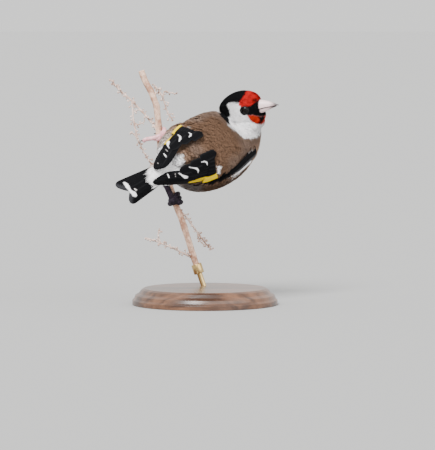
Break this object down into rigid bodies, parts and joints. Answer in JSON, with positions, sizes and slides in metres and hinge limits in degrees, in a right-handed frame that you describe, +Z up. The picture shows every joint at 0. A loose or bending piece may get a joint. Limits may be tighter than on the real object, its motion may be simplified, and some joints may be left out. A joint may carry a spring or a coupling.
{
  "type": "european goldfinch",
  "caption": "Life-size small finch with a red face and a yellow bar on each black wing, clinging to a cut dry stem on a small turned stand.",
  "frame": {"origin": "middle of the stand base's underside", "axes": "+Z up; +X towards the side the bill points to; -Y towards the bird's tail, so that the reference view looks along +Y"},
  "size_m": [0.0926, 0.1019, 0.1287],
  "materials": {
    "plumage": "matte",
    "flight_feathers": "satin",
    "bill": "satin",
    "eye": "gloss",
    "leg_skin": "satin",
    "claw": "satin",
    "dry_stem": "matte",
    "turned_wood": "satin",
    "brass": "satin"
  },
  "bodies": {
    "root": {"torso": "plumage", "neck": "plumage", "head": "plumage", "thigh_left": "plumage", "thigh_right": "plumage", "wing_left": "flight_feathers", "wing_right": "flight_feathers", "tail": "flight_feathers", "bill_upper": "bill", "bill_lower": "bill", "eye_left": "eye", "eye_right": "eye", "shank_left": "leg_skin", "shank_right": "leg_skin", "foot_left": "leg_skin", "foot_right": "leg_skin", "perch_stem": "dry_stem", "perch_twig_left": "dry_stem", "perch_twig_top": "dry_stem", "perch_twig_right": "dry_stem", "perch_twig_low": "dry_stem", "stand_base": "turned_wood", "stand_rod": "brass", "claw_left_1": "claw", "claw_left_2": "claw", "claw_left_3": "claw", "claw_left_4": "claw", "claw_right_1": "claw", "claw_right_2": "claw", "claw_right_3": "claw", "claw_right_4": "claw"}
  },
  "joints": []
}
